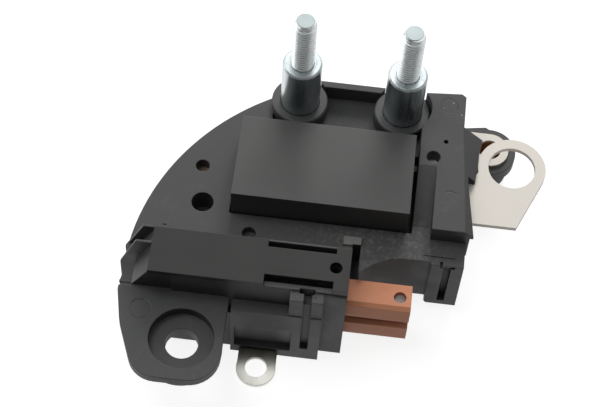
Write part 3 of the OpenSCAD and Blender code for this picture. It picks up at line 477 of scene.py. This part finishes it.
# grey tamped powder that holds the upper brush's lead, seen down its round hole
powder = Finish("tamped_powder")
crumbs = powder.noise(2600.0, 3.0, 0.7)
tamped_powder = powder.finished(
    Base_Color=powder.mixed(crumbs, (0.16, 0.13, 0.12), (0.46, 0.42, 0.40)), Metallic=0.2, Roughness=0.55,
    Normal=powder.bumped(crumbs, 0.05 * mm, powder.plain_normal()))
seal_place = (3.2 * mm, 0.0, 15.6 * mm)
seal_foot, seal_crown, seal_depth = 1.28 * mm, 1.20 * mm, 1.4 * mm
plug = bmesh.new()
bmesh.ops.create_cone(plug, cap_ends=True, segments=40, radius1=seal_foot, radius2=seal_crown,
                      depth=seal_depth, matrix=Matrix.Translation(seal_place))
lead_seal = placed("lead_seal", plug, tamped_powder)
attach(lead_seal, "upper_brush")


# Brush springs and pigtails
# Coil springs of drawn steel wire and braided copper leads behind the brushes, inside the
# tower.
drawn_wire = Finish("spring_wire")
drawn = drawn_wire.noise(1800.0, 2.0, 0.5)
spring_wire = drawn_wire.finished(
    Base_Color=drawn_wire.mixed(drawn, (0.40, 0.41, 0.43), (0.58, 0.59, 0.61)), Metallic=1.0, Roughness=0.32,
    Normal=drawn_wire.bumped(drawn, 0.01 * mm, drawn_wire.plain_normal()))

braid = Finish("copper_braid")
plait = braid.node("TexWave", {"wave_type": "BANDS", "bands_direction": "DIAGONAL"},
                   {"Scale": 900.0, "Distortion": 1.2, "Vector": braid.where()}, out="Fac")
copper_braid = braid.finished(
    Base_Color=braid.mixed(plait, (0.35, 0.15, 0.08), (0.78, 0.42, 0.26)), Metallic=1.0, Roughness=0.42,
    Normal=braid.bumped(plait, 0.12 * mm, braid.plain_normal()))

flexing = (("spring_", spring_wire, "spring_steel"), ("pigtail_", copper_braid, "copper"))
for level in ("upper", "lower"):
    for kind, finish, slot_name in flexing:
        node = kind + level
        coil = bpy.data.objects.new(node + "_flexing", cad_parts[node].data.copy())
        coil.data.materials.clear()
        coil.data.materials.append(finish)
        scene.collection.objects.link(coil)
        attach(coil, "regulator")
        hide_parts(node)
        "brush_" + level + "_slide"
        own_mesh(coil)


# Bus bars
# Stamped copper strips that the plate is moulded round. They show only at the bottom of its
# round holes, where they are dull and brown.
strip = Finish("bare_copper")
rolled = strip.noise(500.0, 3.0, 0.6, at=strip.stretched(0.2, 1.0, 1.0))
bare_copper = strip.finished(
    Base_Color=strip.mixed(rolled, (0.14, 0.11, 0.08), (0.22, 0.18, 0.14)), Metallic=1.0,
    Roughness=strip.fade(rolled, 0.3, 0.7, 0.30, 0.50),
    Normal=strip.bumped(rolled, 0.02 * mm, strip.edges(0.1 * mm)[0]))
dress(bare_copper, "supply_bus_bar", "field_bus_bar")


# Ring terminals and module leads
# Stamped copper sheet with a satin tin plating, warm and pale: the large output ring at the
# side and the small ring on the lug. The module's leads are tinned too, and their colour is painted dark as
# the shade of the narrow gap they cross.
tin = Finish("tin_plating")
soft, edge = tin.edges(0.12 * mm)
fine = tin.noise(2600.0, 3.0, 0.6)
stain = tin.noise(120.0, 4.0, 0.6, distortion=0.5)
tone = tin.mixed(tin.fade(stain, 0.3, 0.7), (0.755, 0.71, 0.645), (0.81, 0.77, 0.705))
tone = tin.mixed(edge * 0.3, tone, (0.56, 0.50, 0.43))
tin_plating = tin.finished(
    Base_Color=tone, Metallic=0.3, Roughness=tin.fade(stain, 0.3, 0.7, 0.56, 0.66),
    Normal=tin.bumped(fine * 0.5 + stain * 0.6, 0.015 * mm, soft))
dress(tin_plating, "ring_terminal", "small_ring_terminal")

shaded_lead = Finish("shade_dark_lead_tin")
lead_mottle = shaded_lead.noise(700.0, 3.0, 0.6)
# painted shade: the leads' tin is coloured dark, as the shade in the gap beside the module
shade_dark_lead_tin = shaded_lead.finished(
    Base_Color=shaded_lead.mixed(lead_mottle, (0.10, 0.10, 0.095), (0.19, 0.185, 0.175)), Metallic=1.0, Roughness=0.55,
    Normal=shaded_lead.bumped(lead_mottle, 0.02 * mm, shaded_lead.edges(0.1 * mm)[0]))
dress(shade_dark_lead_tin, "module_leads")


# Eyelet
# The eyelet at the tower's foot, stamped from thin tinned strip with its rolled grain along
# it. Its colour is painted dark with shade where it leaves the moulding under the tower, and it dips towards
# its ring.
strap = Finish("tinned_strip")
soft, edge = strap.edges(0.12 * mm)
rolled = strap.noise(700.0, 3.0, 0.6, at=strap.stretched(1.0, 0.2, 1.0))
length = strap.along("Y")
# painted shade: the neck, under the tower, is darkened and fades out towards the ring
neck_shade = strap.fade(length, -12.4 * mm, -8.0 * mm)
dip = strap.node("MapRange", None, {"Value": length, "From Min": -9.0 * mm, "From Max": -16.2 * mm})
tone = strap.mixed(strap.fade(rolled, 0.3, 0.7), (0.66, 0.65, 0.60), (0.76, 0.75, 0.695))
tone = strap.mixed(neck_shade * 0.85, tone, (0.16, 0.15, 0.12))
tone = strap.mixed(edge * 0.5, tone, (0.78, 0.77, 0.72))
tinned_strip = strap.finished(
    Base_Color=tone, Metallic=0.8, Roughness=strap.fade(rolled, 0.3, 0.7, 0.32, 0.44),
    Normal=strap.bumped(rolled - dip * dip * 45.0, 0.02 * mm, soft))
dress(tinned_strip, "eyelet_terminal")


# Lug insert
# A turned brass nut that the lug is moulded round, brown with age. Its thread shows through
# the small ring.
nut = Finish("aged_brass")
turns = nut.node("TexWave", {"wave_type": "BANDS", "bands_direction": "Z"},
                 {"Scale": 195.0, "Vector": nut.where()}, out="Fac")
age = nut.noise(600.0, 3.0, 0.6)
aged_brass = nut.finished(
    Base_Color=nut.mixed(age, (0.36, 0.16, 0.05), (0.56, 0.29, 0.11)), Metallic=0.7, Roughness=0.42,
    Normal=nut.bumped(turns + age * 0.1, 0.18 * mm, nut.plain_normal()))
dress(aged_brass, "lug_insert")


# Camera
# The photograph's viewpoint: high in front of the brush tower, a long lens with a slight roll.
# Its place and directions come from a camera fitted to the picture.
eye = Vector((-11.798, -169.546, 331.199)) * mm
right = Vector((0.99321907, 0.10783247, 0.04345159))
up = Vector((-0.11474994, 0.84928939, 0.51530572))
forward = Vector((-0.01866372, 0.51679754, -0.85590418))
camera_data = bpy.data.cameras.new("camera")
camera_data.lens = 101.04
camera_data.sensor_width = 36.0
camera_data.clip_start = 0.01
camera_data.clip_end = 10.0
camera = bpy.data.objects.new("camera", camera_data)
scene.collection.objects.link(camera)
facing = Matrix((right, up, -forward)).transposed().to_4x4()
camera.matrix_world = Matrix.Translation(eye) @ facing
scene.camera = camera


# Floor
# A pale sheet of paper, a little below the regulator and darker in front of it. It looks
# white to the camera and in reflections, but throws little light back up.
half = 3.0
floor_drop = 0.4 * mm
floor_mesh = bpy.data.meshes.new("floor")
corners = [(-half, -half, 0), (half, -half, 0), (half, half, 0), (-half, half, 0)]
floor_mesh.from_pydata(corners, [], [(0, 1, 2, 3)])
floor = bpy.data.objects.new("floor", floor_mesh)
floor.location = (0, 0, -floor_drop)
scene.collection.objects.link(floor)

paper = Finish("pale_paper")
straight = paper.node("LightPath", out="Is Camera Ray")
seen = straight.at_least(paper.node("LightPath", out="Is Glossy Ray"))
seen = seen.at_least(paper.node("LightPath", out="Is Transmission Ray"))
# painted shade: in front of the regulator the paper's glow and the light it throws back are faded out,
# standing in for the room's light falling off there
near = paper.fade(paper.along("Y"), -0.30, -0.07, 0.05, 1.0)
paper_white = paper.mixed(paper.noise(40.0, 3.0, 0.5), (0.845, 0.845, 0.845), (0.865, 0.865, 0.865))
shown = paper.mixed(near.at_least(straight), (0.0, 0.0, 0.0), paper_white)
glow = paper.node("Emission", None, {"Color": shown})
lit = paper.node("BsdfDiffuse", None, {"Color": (0.45, 0.45, 0.45, 1.0)})
bright = paper.node("AddShader", None, {0: lit, 1: glow})
front = paper.node("BsdfDiffuse", None, {"Color": (0.02, 0.02, 0.02, 1.0)})
rear = paper.node("BsdfDiffuse", None, {"Color": (0.20, 0.20, 0.20, 1.0)})
dim = paper.node("MixShader", None, {0: near, 1: front, 2: rear})
sheet_top = paper.node("MixShader", None, {0: seen, 1: dim, 2: bright})
clear = paper.node("BsdfTransparent")
under = paper.node("NewGeometry", out="Backfacing")
both_sides = paper.node("MixShader", None, {0: under, 1: sheet_top, 2: clear})
paper.node("OutputMaterial", None, {"Surface": both_sides})
floor_mesh.materials.append(paper.owner)


# Lamps and surroundings
# Three soft boxes in a room that is white behind the regulator and dark behind the camera, so
# that the plated parts show bright edges and a dark middle.
def softbox(name, place, size, power):
    lamp = bpy.data.lights.new(name, "AREA")
    lamp.shape, lamp.size, lamp.energy = "SQUARE", size, power
    holder = bpy.data.objects.new(name, lamp)
    holder.location = place
    holder.rotation_mode = "QUATERNION"
    holder.rotation_quaternion = (Vector(lamp_target) - Vector(place)).to_track_quat("-Z", "Y")
    scene.collection.objects.link(holder)


lamp_target = (-0.01, 0.01, 0.01)
softbox("rear_softbox", (0.06, 0.83, 0.545), 0.42, 4.2)
softbox("overhead_softbox", (-0.30, 0.05, 0.85), 0.40, 1.6)
softbox("left_softbox", (-0.85, 0.35, 0.45), 0.7, 1.7)

room = Finish("studio", bpy.data.worlds)
way = room.node("TexCoord", out="Generated")
away = room.node("SeparateXYZ", None, {0: way}, out="Y")
lift = room.node("SeparateXYZ", None, {0: way}, out="Z")
mirrored = room.node("LightPath", out="Is Glossy Ray")
level = room.fade(away, -0.70, 0.15, 0.03, 0.60) + room.fade(lift, 0.1, 0.9, 0.0, 0.25)
level = (level * (mirrored * 0.65 + 0.35)).at_least(room.node("LightPath", out="Is Camera Ray"))
black = room.node("Background", None, {"Color": (0.0, 0.0, 0.0, 1.0)})
white = room.node("Background", None, {"Color": (1.0, 1.0, 1.0, 1.0)})
walls = room.node("MixShader", None, {0: level, 1: black, 2: white})
room.node("OutputWorld", None, {"Surface": walls})
scene.world = room.owner
